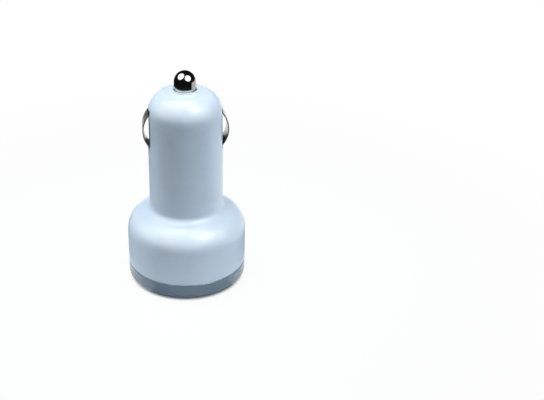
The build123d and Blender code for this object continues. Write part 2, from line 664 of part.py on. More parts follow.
# Indicator lamp beside the ports, pointing at the clear face
with BuildPart() as indicator_lamp:
    lamp_r = LAMP_DIA / 2
    with BuildSketch(Plane(origin=(lamp_x, lamp_axis, 0), x_dir=(1, 0, 0), z_dir=(0, -1, 0))):
        with BuildLine():
            CenterArc((0, lamp_front + lamp_r), lamp_r, -90, 90)
            Polyline(
                (lamp_r, lamp_front + lamp_r),
                (lamp_r, lamp_front + LAMP_LENGTH),
                (LAMP_FLANGE_DIA / 2, lamp_front + LAMP_LENGTH),
                (LAMP_FLANGE_DIA / 2, lamp_front + LAMP_LENGTH + LAMP_FLANGE),
                (0, lamp_front + LAMP_LENGTH + LAMP_FLANGE),
                (0, lamp_front),
            )
        make_face()
    revolve(axis=Axis((lamp_x, lamp_axis, 0), (0, 0, 1)))
    for side in (-1, 1):
        lead_x = lamp_x + side * LAMP_LEAD_PITCH / 2
        with BuildLine() as lamp_lead:
            FilletPolyline(
                (lead_x, lamp_axis, lamp_hole_z - LEAD_STEP - LEAD_DIA),
                (lead_x, lamp_axis, lamp_hole_z),
                (lead_x, board_under - PIN_PROUD, lamp_hole_z),
                radius=LEAD_DIA,
            )
        with BuildSketch(Plane(origin=lamp_lead.line @ 0, z_dir=lamp_lead.line % 0)):
            Circle(LEAD_DIA / 2)
        sweep(path=lamp_lead.line)
save(indicator_lamp, "indicator_lamp")
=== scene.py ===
"""Finishes, small details and stage for a car charger plug with two ports.

Metres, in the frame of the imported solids: the plug stands on its port face at z = 0, its axis is on Z and
the sprung tip is up. X runs across the ports and Y points from the board towards the tops of the ports.
"""

import json
from math import cos, pi, radians, sin

import bmesh
import bpy
from bpy.props import FloatProperty, FloatVectorProperty, IntProperty, PointerProperty
from mathutils import Matrix, Vector

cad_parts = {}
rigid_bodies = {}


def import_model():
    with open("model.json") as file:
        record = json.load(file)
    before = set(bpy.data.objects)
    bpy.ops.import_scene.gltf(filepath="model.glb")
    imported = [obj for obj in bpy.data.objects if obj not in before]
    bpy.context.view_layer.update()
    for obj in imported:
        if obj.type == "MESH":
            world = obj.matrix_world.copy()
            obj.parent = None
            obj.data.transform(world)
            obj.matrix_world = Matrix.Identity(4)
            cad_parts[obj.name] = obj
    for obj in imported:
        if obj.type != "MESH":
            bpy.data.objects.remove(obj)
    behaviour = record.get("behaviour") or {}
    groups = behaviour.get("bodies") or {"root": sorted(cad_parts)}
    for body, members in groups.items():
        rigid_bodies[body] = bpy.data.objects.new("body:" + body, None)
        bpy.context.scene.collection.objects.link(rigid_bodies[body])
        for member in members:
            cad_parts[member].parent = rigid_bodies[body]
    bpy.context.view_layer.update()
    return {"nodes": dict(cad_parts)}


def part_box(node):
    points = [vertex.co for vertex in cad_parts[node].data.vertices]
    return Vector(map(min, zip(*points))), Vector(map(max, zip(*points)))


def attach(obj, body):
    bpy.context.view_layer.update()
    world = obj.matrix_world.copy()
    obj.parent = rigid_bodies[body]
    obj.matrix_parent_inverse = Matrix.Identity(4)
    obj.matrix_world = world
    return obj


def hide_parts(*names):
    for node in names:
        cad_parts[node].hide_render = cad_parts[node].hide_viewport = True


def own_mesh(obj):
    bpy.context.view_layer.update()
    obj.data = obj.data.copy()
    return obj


bl_info = {
    "name": "Car Charger Plug",
    "version": (1, 0, 0),
    "blender": (4, 5, 0),
    "location": "View3D > Sidebar > Charger",
    "description": "Finishes, small details and a studio stage for a car charger plug",
    "category": "Object",
}

# Start from an empty scene, then bring in the solids
for leftover in list(bpy.data.objects):
    bpy.data.objects.remove(leftover)
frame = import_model()

MM = 0.001


# Settings that a user would change


def colour(name, description, default):
    """A colour setting."""
    return FloatVectorProperty(
        name=name, description=description, default=default, size=3, min=0, max=1, subtype="COLOR"
    )


def length(name, description, millimetres):
    """A length setting, given in millimetres and kept in metres."""
    return FloatProperty(
        name=name, description=description, default=millimetres * MM, unit="LENGTH", precision=5
    )


def bearing(name, description, degrees):
    """An angle setting, given in degrees."""
    return FloatProperty(name=name, description=description, default=radians(degrees), subtype="ANGLE")


def wattage(name, description, watts):
    """The power of a lamp, or of several that are set together."""
    return FloatProperty(name=name, description=description, default=watts, unit="POWER")


def pixel(name, description, default):
    """A measure in pixels of the picture."""
    return FloatProperty(name=name, description=description, default=default, subtype="PIXEL")


def share(name, description, default):
    """A setting from nothing to all."""
    return FloatProperty(name=name, description=description, default=default, min=0, max=1, subtype="FACTOR")


class ChargerColours(bpy.types.PropertyGroup):
    """Colours of the charger's finishes."""

    shell: colour("Shell", "Glossy white moulding of the body", (0.73, 0.82, 0.93))
    cap: colour("Cap", "Smoky clear plastic of the end cap", (0.36, 0.46, 0.55))
    cap_face: colour("Cap face", "Milky face of the end cap round the ports", (0.66, 0.71, 0.75))
    print_ink: colour("Print", "Ink of the port numbers", (0.05, 0.055, 0.06))
    tip: colour("Tip", "Bright plated tip", (0.42, 0.415, 0.41))
    leaf: colour("Side springs", "Bare spring steel", (0.66, 0.65, 0.63))
    coil: colour("Coil", "Spring wire behind the tip", (0.50, 0.50, 0.52))
    brass: colour("Terminal", "Tinned brass of the terminal and rivets", (0.72, 0.64, 0.45))
    port_steel: colour("Port shell", "Tinned steel round the ports", (0.68, 0.68, 0.66))
    shield: colour("Middle shield", "Duller sheet between the ports", (0.50, 0.46, 0.40))
    tongue: colour("Tongues", "Pale plastic that carries the contacts", (0.64, 0.65, 0.64))
    contact: colour("Contacts", "Gold flashed contact strips", (0.80, 0.62, 0.30))
    board: colour("Board", "Green lacquer of the circuit board", (0.02, 0.14, 0.07))
    laminate: colour("Laminate", "Bare edge of the circuit board", (0.52, 0.46, 0.28))
    solder: colour("Solder", "Solder at the pins", (0.62, 0.62, 0.63))
    sleeve: colour("Sleeve", "Plastic sleeve of the can capacitors", (0.012, 0.014, 0.03))
    aluminium: colour("Can", "Bare end of the can capacitors", (0.75, 0.75, 0.76))
    ferrite: colour("Ferrite", "Core of the inductor", (0.035, 0.034, 0.036))
    copper: colour("Winding", "Lacquered copper wire", (0.62, 0.24, 0.09))
    black: colour("Black plastic", "Moulded cases of the chip, diode and resistors", (0.018, 0.018, 0.02))
    white_block: colour("Fuse case", "Case of the input fuse", (0.70, 0.69, 0.66))
    tan_block: colour("Ceramic", "Body of the ceramic capacitors", (0.42, 0.29, 0.17))
    lamp: colour("Lamp", "Tinted resin of the lamp", (0.55, 0.66, 0.95))


class ChargerSizes(bpy.types.PropertyGroup):
    """Sizes of the surface detail and of the small pieces made here."""

    peel: length("Peel", "Size of the ripple on glossy mouldings", 1.4)
    parting: length("Parting line", "Width of the mould's parting line", 0.07)
    # The settings from Rub foot to Slot dark place the painted shade in the side slots and along their rims
    rub_low: length("Rub foot", "Height at which the rub marks of the side springs start", 41.2)
    slot_top: length("Slot top", "Height of the upper end of the side slots", 51.5)
    slot_half: length("Slot half", "Half of the width of a side slot", 2.9)
    slot_rub: length("Slot rub", "How far the rub marks reach from a side slot", 0.5)
    slot_light: length("Slot light", "Radius inside which the slots get darker", 9.95)
    slot_dark: length("Slot dark", "Radius inside which the slots are darkest", 9.2)
    scratch: length("Scratches", "Spacing of handling marks", 3.0)
    grain: length("Grain", "Spacing of drawn or brushed metal grain", 0.12)
    edge: length("Edge wear", "Reach of wear from an edge", 0.12)
    coil_wire: length("Coil wire", "Wire of the coil behind the tip", 0.5)
    winding_wire: length("Winding wire", "Wire of the inductor", 0.5)
    coil_turns: IntProperty(
        name="Coil turns", description="Turns of the coil, closed ends included", default=6, min=3
    )
    fillet_width: length("Solder width", "Radius of a solder fillet at the board", 0.75)
    fillet_height: length("Solder height", "Height of a solder fillet up its pin", 0.62)
    digit: length("Digit", "Height of the port numbers", 3.0)
    ink: length("Ink", "How far the ink of the port numbers stands on the face", 0.005)
    cap_wall: length("Cap wall", "Thickness of the cap's wall where it shows through the face", 3.2)
    cap_edge: length("Cap edge", "Width of the wall's inner edge where it shows through the face", 0.5)


class ChargerStage(bpy.types.PropertyGroup):
    """Camera, light and floor."""

    aim: length("Aim height", "Height of the point that the camera was set up on", 30.0)
    distance: length("Distance", "Camera to that point", 274.025)
    elevation: bearing("Elevation", "Camera above the floor", 26.523)
    turn: bearing("Turn", "Camera round the plug", -3.8)
    roll: bearing("Roll", "Camera about its own axis", 0.7375)
    focal: pixel("Focal length", "In pixels of the picture", 972.58)
    aim_x: pixel("Aim across", "Pixel column of the aim point", 186.158)
    aim_y: pixel("Aim down", "Pixel row of the aim point", 178.185)
    key: wattage("Keys", "The two lamps above, to the left and right", 0.70)
    top: wattage("Top", "Panel straight above", 1.90)
    side: wattage("Sides", "Panels at the sides", 0.40)
    sheen: wattage("Sheen", "Panels in front that only gloss shows", 1.50)
    glint: wattage("Glint", "The two lamps that only the tip shows", 1.80)
    under: wattage("Under", "Panel below that lights only the port face", 2.00)
    ambient: share("Ambient", "Light from all round", 0.03)
    floor_white: share("Floor white", "How much of the floor by the plug is plain white instead of lit", 0.92)
    paper: share("Floor paper", "How much light the floor sends back up near the plug", 0.78)
    cool: colour("Cool light", "Colour of the keys, low panels and light all round", (0.64, 0.83, 1.0))
    pale: colour("Pale light", "Colour of the panels at the sides", (0.83, 0.91, 0.97))
    plain: colour("Plain light", "Colour of the panels above and in front", (1.0, 0.96, 0.88))


# Picture in pixels and camera sensor in millimetres
PICTURE = (544, 400)
SENSOR = 36.0

WHITE = (1.0, 1.0, 1.0)

# Colour sockets of a Mix node
MIX_FIRST = 6
MIX_SECOND = 7
MIX_RESULT = 2

# How metal grain is stretched: not at all, along an axis or round the plug's axis
EVEN = (1.0, 1.0, 1.0)
ALONG_Y = (1.0, 0.05, 1.0)
ALONG_Z = (1.0, 1.0, 0.05)
FAR_ALONG_Z = (1.0, 1.0, 0.04)
ROUND_Z = (0.05, 0.05, 1.0)


# Node helpers


def add(tree, kind, inputs=None, **settings):
    """Add a node with its settings, and set or link its inputs by name or number."""
    node = tree.nodes.new(kind)
    for name, value in settings.items():
        setattr(node, name, value)
    for name, value in (inputs or {}).items():
        if isinstance(value, bpy.types.NodeSocket):
            tree.links.new(value, node.inputs[name])
        else:
            node.inputs[name].default_value = value
    return node


def maths(tree, operation, *values):
    """One step of arithmetic on numbers or sockets."""
    return add(tree, "ShaderNodeMath", dict(enumerate(values)), operation=operation).outputs[0]


def vector_maths(tree, operation, *vectors):
    """One step of arithmetic on vectors."""
    return add(tree, "ShaderNodeVectorMath", dict(enumerate(vectors)), operation=operation).outputs


def ramp(tree, value, low, high, to_low=0.0, to_high=1.0):
    """Smooth change from one value to another as the input goes from low to high."""
    inputs = {"Value": value, "From Min": low, "From Max": high, "To Min": to_low, "To Max": to_high}
    return add(tree, "ShaderNodeMapRange", inputs, interpolation_type="SMOOTHSTEP").outputs["Result"]


def blend(tree, factor, first, second, blend_type="MIX"):
    """Mix two colours."""
    mixer = add(tree, "ShaderNodeMix", data_type="RGBA", blend_type=blend_type)
    for socket_name, value in (("Factor", factor), (MIX_FIRST, first), (MIX_SECOND, second)):
        socket = mixer.inputs[socket_name]
        if isinstance(value, bpy.types.NodeSocket):
            tree.links.new(value, socket)
        elif hasattr(value, "__len__"):
            socket.default_value = (*value, 1.0)[:4]
        else:
            socket.default_value = value
    return mixer.outputs[MIX_RESULT]


def shaded(tint, amount):
    """A colour made darker or brighter."""
    return [min(1.0, part * amount) for part in tint]


def place(tree, kind="Object"):
    """Coordinates on the piece itself."""
    return add(tree, "ShaderNodeTexCoord").outputs[kind]


def axes(tree, vector):
    """The three parts of a vector."""
    return tuple(add(tree, "ShaderNodeSeparateXYZ", {0: vector}).outputs)


def distance(tree, x, y, to_x, to_y):
    """Distance in a plane from a fixed point."""
    across = maths(tree, "POWER", maths(tree, "SUBTRACT", x, to_x), 2.0)
    along = maths(tree, "POWER", maths(tree, "SUBTRACT", y, to_y), 2.0)
    return maths(tree, "SQRT", maths(tree, "ADD", across, along))


def noise(tree, vector, scale, detail=2.0, roughness=0.5):
    """Cloudy noise from 0 to 1."""
    inputs = {"Vector": vector, "Scale": scale, "Detail": detail, "Roughness": roughness}
    return add(tree, "ShaderNodeTexNoise", inputs).outputs["Fac"]


def cell_edges(tree, vector, scale):
    """Distance from the nearest edge in a field of cells."""
    inputs = {"Vector": vector, "Scale": scale}
    return add(tree, "ShaderNodeTexVoronoi", inputs, feature="DISTANCE_TO_EDGE").outputs["Distance"]


def new_group(name, inputs, outputs):
    """An empty node group with named sockets."""
    group = bpy.data.node_groups.new(name, "ShaderNodeTree")
    for socket_name, default in inputs.items():
        kind = "NodeSocketVector" if hasattr(default, "__len__") else "NodeSocketFloat"
        socket = group.interface.new_socket(socket_name, in_out="INPUT", socket_type=kind)
        socket.default_value = default
    for socket_name in outputs:
        group.interface.new_socket(socket_name, in_out="OUTPUT", socket_type="NodeSocketFloat")
    return group, group.nodes.new("NodeGroupInput").outputs, group.nodes.new("NodeGroupOutput").inputs


# Shared surface effects


def moulded_skin():
    """Ripple of a moulded surface, with slow changes of tone and gloss."""
    inputs = {"Spacing": 0.0014, "Tone Spread": 0.03, "Gloss Spread": 0.05}
    group, given, made = new_group("Moulded Skin", inputs, ("Height", "Tone", "Gloss"))
    spot = place(group)
    scale = maths(group, "DIVIDE", 1.0, given["Spacing"])
    slow = noise(group, spot, maths(group, "MULTIPLY", scale, 0.09), 3.0)
    patch = noise(group, spot, maths(group, "MULTIPLY", scale, 0.3), 2.0)
    centred = maths(group, "SUBTRACT", slow, 0.5)
    patchy = maths(group, "SUBTRACT", patch, 0.5)
    group.links.new(noise(group, spot, scale, 1.0), made["Height"])
    group.links.new(maths(group, "MULTIPLY_ADD", centred, given["Tone Spread"], 1.0), made["Tone"])
    group.links.new(maths(group, "MULTIPLY", patchy, given["Gloss Spread"]), made["Gloss"])
    return group


def handling_marks():
    """Fine crossing scratches in a few places, and faint smudges."""
    group, given, made = new_group("Handling Marks", {"Spacing": 0.003, "Amount": 0.3}, ("Scratch", "Smudge"))
    spot = place(group)
    scale = maths(group, "DIVIDE", 1.0, given["Spacing"])
    lines = None
    for turn, stretch in ((0.5, (1.0, 1.0, 0.06)), (2.1, (0.09, 1.0, 0.5))):
        inputs = {"Vector": spot, "Rotation": (turn, turn / 2, turn), "Scale": stretch}
        turned = add(group, "ShaderNodeMapping", inputs).outputs[0]
        line = ramp(group, cell_edges(group, turned, scale), 0.0, 0.02, 1.0, 0.0)
        lines = line if lines is None else maths(group, "MAXIMUM", lines, line)
    patch = ramp(group, noise(group, spot, maths(group, "MULTIPLY", scale, 0.7), 2.0), 0.54, 0.70)
    smudge = ramp(group, noise(group, spot, maths(group, "MULTIPLY", scale, 0.35), 4.0, 0.6), 0.45, 0.75)
    scratch = maths(group, "MULTIPLY", lines, patch)
    group.links.new(maths(group, "MULTIPLY", scratch, given["Amount"]), made["Scratch"])
    group.links.new(maths(group, "MULTIPLY", smudge, given["Amount"]), made["Smudge"])
    return group


def worn_edge():
    """Mask that is strongest on sharp edges, broken up by noise."""
    group, given, made = new_group("Worn Edge", {"Width": 0.00012, "Amount": 0.6}, ("Mask",))
    rounded = add(group, "ShaderNodeBevel", {"Radius": given["Width"]}, samples=4).outputs[0]
    normal = add(group, "ShaderNodeNewGeometry").outputs["Normal"]
    same = vector_maths(group, "DOT_PRODUCT", rounded, normal)["Value"]
    edge = ramp(group, same, 0.80, 0.99, 1.0, 0.0)
    broken = ramp(group, noise(group, place(group), 900.0, 3.0), 0.30, 0.65, 0.35, 1.0)
    worn = maths(group, "MULTIPLY", edge, broken)
    group.links.new(maths(group, "MULTIPLY", worn, given["Amount"]), made["Mask"])
    return group


def drawn_grain():
    """Streaks of drawn, turned or brushed metal, stretched along one direction."""
    inputs = {"Spacing": 0.00012, "Stretch": ALONG_Z}
    group, given, made = new_group("Drawn Grain", inputs, ("Height", "Streak"))
    stretched = vector_maths(group, "MULTIPLY", place(group), given["Stretch"])["Vector"]
    scale = maths(group, "DIVIDE", 1.0, given["Spacing"])
    fine = noise(group, stretched, scale, 3.0)
    coarse = noise(group, stretched, maths(group, "MULTIPLY", scale, 0.22), 2.0)
    group.links.new(fine, made["Height"])
    group.links.new(ramp(group, coarse, 0.32, 0.68), made["Streak"])
    return group


def metal_ends():
    """Mask of the plated ends of a small two-ended part, along its longer side."""
    group, given, made = new_group("Metal Ends", {"Share": 0.17, "Direction": (0.0, 0.0, 1.0)}, ("Mask",))
    along = vector_maths(group, "DOT_PRODUCT", place(group, "Generated"), given["Direction"])["Value"]
    from_middle = maths(group, "ABSOLUTE", maths(group, "SUBTRACT", along, 0.5))
    limit = maths(group, "SUBTRACT", 0.5, given["Share"])
    group.links.new(maths(group, "GREATER_THAN", from_middle, limit), made["Mask"])
    return group


def effect(tree, maker, **inputs):
    """Place a shared effect in a material with its own values, and return its outputs."""
    name = maker.__name__.replace("_", " ").title()
    group = bpy.data.node_groups.get(name) or maker()
    node = add(tree, "ShaderNodeGroup", node_tree=group)
    for socket_name, value in inputs.items():
        node.inputs[socket_name.replace("_", " ").title()].default_value = value
    return node.outputs


def toned(tree, tint, skin):
    """A colour with a moulded skin's slow changes of tone."""
    return blend(tree, 1.0, tint, skin["Tone"], "MULTIPLY")


class Finish:
    """One material: a Principled shader whose fixed values are set once and whose rest is linked."""

    def __init__(self, name, **fixed):
        self.material = bpy.data.materials.new(name)
        self.material.use_nodes = True
        self.tree = self.material.node_tree
        self.shader = self.tree.nodes["Principled BSDF"]
        for socket_name, value in fixed.items():
            self.shader.inputs[socket_name.replace("_", " ")].default_value = value

    def link(self, socket_name, value):
        """Feed one of the shader's inputs."""
        self.tree.links.new(value, self.shader.inputs[socket_name])

    def bump(self, height, depth):
        """Feed a height to the shader's normal, with its depth in millimetres."""
        inputs = {"Height": height, "Distance": depth * MM, "Strength": 1.0}
        self.link("Normal", add(self.tree, "ShaderNodeBump", inputs).outputs[0])


def paint(finish, *names):
    """Give a finish to solids by name."""
    for name in names:
        solid = frame["nodes"][name]
        if not solid.material_slots:
            solid.data.materials.append(finish.material)
        for slot in solid.material_slots:
            slot.material = finish.material


def numbered(stem, count):
    """Names of repeated pieces."""
    return [f"{stem}_{number}" for number in range(1, count + 1)]


CONTACTS = numbered("usb_contact_upper", 4) + numbered("usb_contact_lower", 4)
CANS = ("input_capacitor", "output_capacitor")


def add_piece(name, mesh, finish):
    """Put a new mesh in the scene with its finish, riding on the charger itself."""
    mesh.materials.clear()
    mesh.materials.append(finish.material)
    piece = bpy.data.objects.new(name, mesh)
    bpy.context.scene.collection.objects.link(piece)
    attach(piece, "charger")
    return piece


def circle(steps):
    """Points of a circle of radius 1, spread evenly."""
    angles = [2 * pi * step / steps for step in range(steps)]
    return [(cos(angle), sin(angle)) for angle in angles]


def join_rings(shape, rings):
    """Skin a row of rings of points and close both ends."""
    for before, after in zip(rings, rings[1:]):
        for corner in range(len(before)):
            following = (corner + 1) % len(before)
            shape.faces.new((before[corner], before[following], after[following], after[corner]))
    shape.faces.new(list(reversed(rings[0])))
    shape.faces.new(rings[-1])


def made_mesh(name, shape):
    """Mesh of a finished shape."""
    mesh = bpy.data.meshes.new(name)
    shape.to_mesh(mesh)
    shape.free()
    return mesh


def smooth_mesh(name, shape):
    """Smooth mesh of a shape, with its faces outward."""
    for face in shape.faces:
        face.smooth = True
    bmesh.ops.recalc_face_normals(shape, faces=shape.faces)
    return made_mesh(name, shape)


def wound_wire(name, places, thick):
    """Round wire wound about Z, through places that each give a turn, a radius and a height."""
    section = circle(12)
    shape = bmesh.new()
    rings = []
    for turn, radius, height in places:
        angle = 2 * pi * turn
        ring = []
        for across, along in section:
            out = radius + thick * across
            ring.append(shape.verts.new((out * cos(angle), out * sin(angle), height + thick * along)))
        rings.append(ring)
    join_rings(shape, rings)
    return smooth_mesh(name, shape)


def plated(name, tint, roughness, sizes, stretch=ALONG_Z, wear=0.5, streak=0.12, depth=0.002):
    """Sheet or turned metal: grain, streaks of tone, brighter worn edges and a few scratches."""
    finish = Finish(name, Metallic=1.0)
    tree = finish.tree
    grain = effect(tree, drawn_grain, spacing=sizes.grain, stretch=stretch)
    marks = effect(tree, handling_marks, spacing=sizes.scratch / 2, amount=0.25)
    edge = effect(tree, worn_edge, width=sizes.edge, amount=wear)
    streaked = blend(tree, grain["Streak"], shaded(tint, 1 - streak), tint)
    finish.link("Base Color", blend(tree, edge["Mask"], streaked, shaded(tint, 1.25)))
    rough = maths(tree, "MULTIPLY_ADD", grain["Streak"], 0.08, roughness)
    smudged = maths(tree, "MULTIPLY_ADD", marks["Smudge"], 0.15, rough)
    finish.link("Roughness", maths(tree, "MULTIPLY_ADD", marks["Scratch"], 0.2, smudged))
    finish.bump(maths(tree, "SUBTRACT", grain["Height"], marks["Scratch"]), depth)
    return finish


def moulded(name, tint, roughness, spacing, tone, gloss, depth, **fixed):
    """One colour with a moulded skin."""
    finish = Finish(name, **fixed)
    tree = finish.tree
    skin = effect(tree, moulded_skin, spacing=spacing, tone_spread=tone, gloss_spread=gloss)
    finish.link("Base Color", toned(tree, tint, skin))
    finish.link("Roughness", maths(tree, "ADD", skin["Gloss"], roughness))
    finish.bump(skin["Height"], depth)
    return finish


def cased(name, tint, roughness, ends, direction, sizes):
    """Small part with a moulded case and plated ends."""
    end_roughness = 0.3
    finish = Finish(name)
    tree = finish.tree
    skin = effect(tree, moulded_skin, spacing=sizes.grain, tone_spread=0.15, gloss_spread=0.2)
    mask = effect(tree, metal_ends, share=0.17, direction=direction)["Mask"]
    finish.link("Base Color", blend(tree, mask, toned(tree, tint, skin), ends))
    finish.link("Metallic", mask)
    rough = maths(tree, "ADD", skin["Gloss"], roughness)
    finish.link("Roughness", maths(tree, "MULTIPLY_ADD", mask, end_roughness - roughness, rough))
    finish.bump(skin["Height"], 0.006)
    return finish


class CHARGER_OT_shell(bpy.types.Operator):
    """Glossy white body with a moulded skin, a faint parting line, light handling marks, and painted shade in
    and round the side slots
    """

    bl_idname = "charger.shell"
    bl_label = "Body Shell"

    def execute(self, context):
        sizes = context.scene.charger_sizes
        white = context.scene.charger_colours.shell
        finish = Finish("White Body", Coat_Weight=0.35, Coat_Roughness=0.30, IOR=1.46)
        tree = finish.tree
        skin = effect(tree, moulded_skin, spacing=sizes.peel, tone_spread=0.05, gloss_spread=0.10)
        marks = effect(tree, handling_marks, spacing=sizes.scratch, amount=0.35)
        handled = blend(tree, marks["Smudge"], toned(tree, white, skin), shaded(white, 0.86))
        # Painted shade darkens the side slots' walls and inside, and a painted shadow runs along the slots'
        # rims
        x, y, z = axes(tree, place(tree))
        off_middle = maths(tree, "ABSOLUTE", y)
        depth = ramp(tree, distance(tree, x, y, 0.0, 0.0), sizes.slot_dark, sizes.slot_light, 1.0, 0.0)
        # A painted shadow along the slot rims
        rim_shade = ramp(tree, off_middle, sizes.slot_half, sizes.slot_half + sizes.slot_rub, 0.75, 0.0)
        above = ramp(tree, z, sizes.rub_low - sizes.slot_rub, sizes.rub_low)
        rim = maths(tree, "MULTIPLY", rim_shade, above)
        below = ramp(tree, z, sizes.slot_top, sizes.slot_top + sizes.slot_rub, 1.0, 0.0)
        # Where the painted shade of the slots and their rims falls
        slot_shade = maths(tree, "MULTIPLY", maths(tree, "MAXIMUM", depth, rim), below)
        finish.link("Base Color", blend(tree, slot_shade, handled, shaded(white, 0.25)))
        rough = maths(tree, "ADD", skin["Gloss"], 0.34)
        finish.link("Roughness", maths(tree, "MULTIPLY_ADD", marks["Scratch"], 0.25, rough))
        # The mould's two halves meet along the sides
        line = ramp(tree, off_middle, sizes.parting * 0.3, sizes.parting, 1.0, 0.0)
        height = maths(tree, "MULTIPLY_ADD", line, 1.2, skin["Height"])
        finish.bump(maths(tree, "SUBTRACT", height, marks["Scratch"]), 0.006)
        paint(finish, "body_shell")
        return {"FINISHED"}


class CHARGER_OT_cap(bpy.types.Operator):
    """Smoky clear end cap with painted shade where it rounds over, a milky face with a painted highlight at
    the wall's inner edge, and plain port numbers
    """

    bl_idname = "charger.cap"
    bl_label = "End Cap"

    def execute(self, context):
        scene = context.scene
        sizes = scene.charger_sizes
        colours = scene.charger_colours
        finish = Finish("Smoky Clear", Transmission_Weight=0.62, IOR=1.49)
        tree = finish.tree
        skin = effect(tree, moulded_skin, spacing=sizes.peel * 2, tone_spread=0.10, gloss_spread=0.04)
        marks = effect(tree, handling_marks, spacing=sizes.scratch, amount=0.25)
        # The side is smoky, with painted shade where it rounds over towards the floor, and ends at the milky
        # face
        facing = axes(tree, add(tree, "ShaderNodeNewGeometry").outputs["Normal"])[2]
        face = ramp(tree, facing, -0.999, -0.97, 1.0, 0.0)
        rounded = ramp(tree, facing, -0.6, -0.05, 0.40, 1.0)
        smoke_with_shade = blend(tree, 1.0, colours.cap, rounded, "MULTIPLY")
        tinted = blend(tree, face, smoke_with_shade, self.look_through(tree, sizes, colours))
        finish.link("Base Color", toned(tree, tinted, skin))
        rough = maths(tree, "ADD", skin["Gloss"], 0.20)
        finish.link("Roughness", maths(tree, "MULTIPLY_ADD", marks["Smudge"], 0.12, rough))
        finish.bump(skin["Height"], 0.002)
        paint(finish, "end_cap")
        self.number_ports(scene, sizes, colours)
        return {"FINISHED"}

    def look_through(self, tree, sizes, colours):
        """Milky face with the cap's thick wall and the lamp showing through, and a painted highlight along
        the wall's inner edge.
        """
        x, y = axes(tree, place(tree))[:2]
        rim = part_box("end_cap")[1].x - sizes.cap_wall
        out = distance(tree, x, y, 0.0, 0.0)
        wall = ramp(tree, out, rim, rim + sizes.cap_edge)
        walled = blend(tree, wall, colours.cap_face, shaded(colours.cap_face, 0.86))
        # A painted highlight along the wall's inner edge
        off_edge = maths(tree, "ABSOLUTE", maths(tree, "SUBTRACT", out, rim))
        edge = ramp(tree, off_edge, 0.0, sizes.cap_edge, 0.75, 0.0)
        with_edge_highlight = blend(tree, edge, walled, (0.90, 0.93, 0.95))
        low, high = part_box("indicator_lamp")
        lamp_out = distance(tree, x, y, (low.x + high.x) / 2, (low.y + high.y) / 2)
        lamp_width = high.x - low.x
        spot = ramp(tree, lamp_out, lamp_width * 0.32, lamp_width * 0.5, 0.7, 0.0)
        return blend(tree, spot, with_edge_highlight, (0.86, 0.90, 0.95))

    def number_ports(self, scene, sizes, colours):
        """Print a plain number beside each port, to be read from the face's side."""
        ink = Finish("Port Print", Roughness=0.5)
        skin = effect(ink.tree, moulded_skin, spacing=sizes.grain * 2, tone_spread=0.5)
        ink.link("Base Color", toned(ink.tree, colours.print_ink, skin))
        ink.bump(skin["Height"], 0.002)
        low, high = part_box("usb_shell")
        # Where each number stands, as a share of the way up the port shell
        rows = {1: 0.78, 2: 0.38}
        for number, row in rows.items():
            letter = bpy.data.curves.new(f"port_number_{number}", "FONT")
            letter.body = str(number)
            letter.size = sizes.digit
            letter.extrude = sizes.ink
            letter.align_x = "CENTER"
            letter.align_y = "CENTER"
            drawn = bpy.data.objects.new("drawn_number", letter)
            scene.collection.objects.link(drawn)
            graph = bpy.context.evaluated_depsgraph_get()
            mesh = bpy.data.meshes.new_from_object(drawn.evaluated_get(graph))
            bpy.data.objects.remove(drawn)
            beside = high.x + sizes.digit * 0.75
            spot = Vector((beside, low.y + (high.y - low.y) * row, 0.0))
            mesh.transform(Matrix.Translation(spot) @ Matrix.Rotation(pi, 4, "Y"))
            mesh.name = f"port_number_{number}"
            add_piece(f"port_number_{number}", mesh, ink)


class CHARGER_OT_tip(bpy.types.Operator):
    """Bright turned tip, the coil behind it and the terminal that the coil sits on"""

    bl_idname = "charger.tip"
    bl_label = "Sprung Tip"

    def execute(self, context):
        sizes = context.scene.charger_sizes
        colours = context.scene.charger_colours
        bright = plated("Bright Tip", colours.tip, 0.06, sizes, ROUND_Z, wear=0.3, streak=0.08, depth=0.0012)
        paint(bright, "tip_pin")
        paint(plated("Tinned Brass", colours.brass, 0.26, sizes, ALONG_Y), "tip_terminal")
        self.wind_coil(plated("Spring Wire", colours.coil, 0.24, sizes, EVEN), sizes)
        return {"FINISHED"}

    def wind_coil(self, wire, sizes):
        """Coil with closed ends between the terminal's seat and the tip's flange."""
        low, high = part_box("tip_spring")
        thick = sizes.coil_wire / 2
        radius = (high.x - low.x) / 2 - thick
        # Turns that lie closed at each end, and steps in a turn
        closed = 0.9
        steps = 40
        rise = high.z - low.z - 2 * thick
        lay = sizes.coil_wire * 1.04
        pitch = (rise - 2 * closed * lay) / (sizes.coil_turns - 2 * closed)
        places = []
        height = low.z + thick
        for step in range(sizes.coil_turns * steps + 1):
            turn = step / steps
            places.append((turn, radius, height))
            at_end = turn < closed or turn > sizes.coil_turns - closed
            height += (lay if at_end else pitch) / steps
        fit = rise / (places[-1][2] - places[0][2])
        fitted = [(turn, out, low.z + thick + (up - low.z - thick) * fit) for turn, out, up in places]
        mesh = wound_wire("tip_coil", fitted, thick)
        coil = add_piece("tip_coil", mesh, wire)
        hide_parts("tip_spring")
        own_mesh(coil)


class CHARGER_OT_springs(bpy.types.Operator):
    """Side springs of bare spring steel and the rivets that hold them"""

    bl_idname = "charger.springs"
    bl_label = "Side Springs"

    def execute(self, context):
        sizes = context.scene.charger_sizes
        colours = context.scene.charger_colours
        leaf = plated("Spring Leaf", colours.leaf, 0.20, sizes, FAR_ALONG_Z)
        rivet = plated("Rivet Metal", colours.brass, 0.30, sizes, EVEN)
        for side in ("left", "right"):
            paint(leaf, f"side_spring_{side}")
            paint(rivet, f"spring_rivet_{side}")
        return {"FINISHED"}


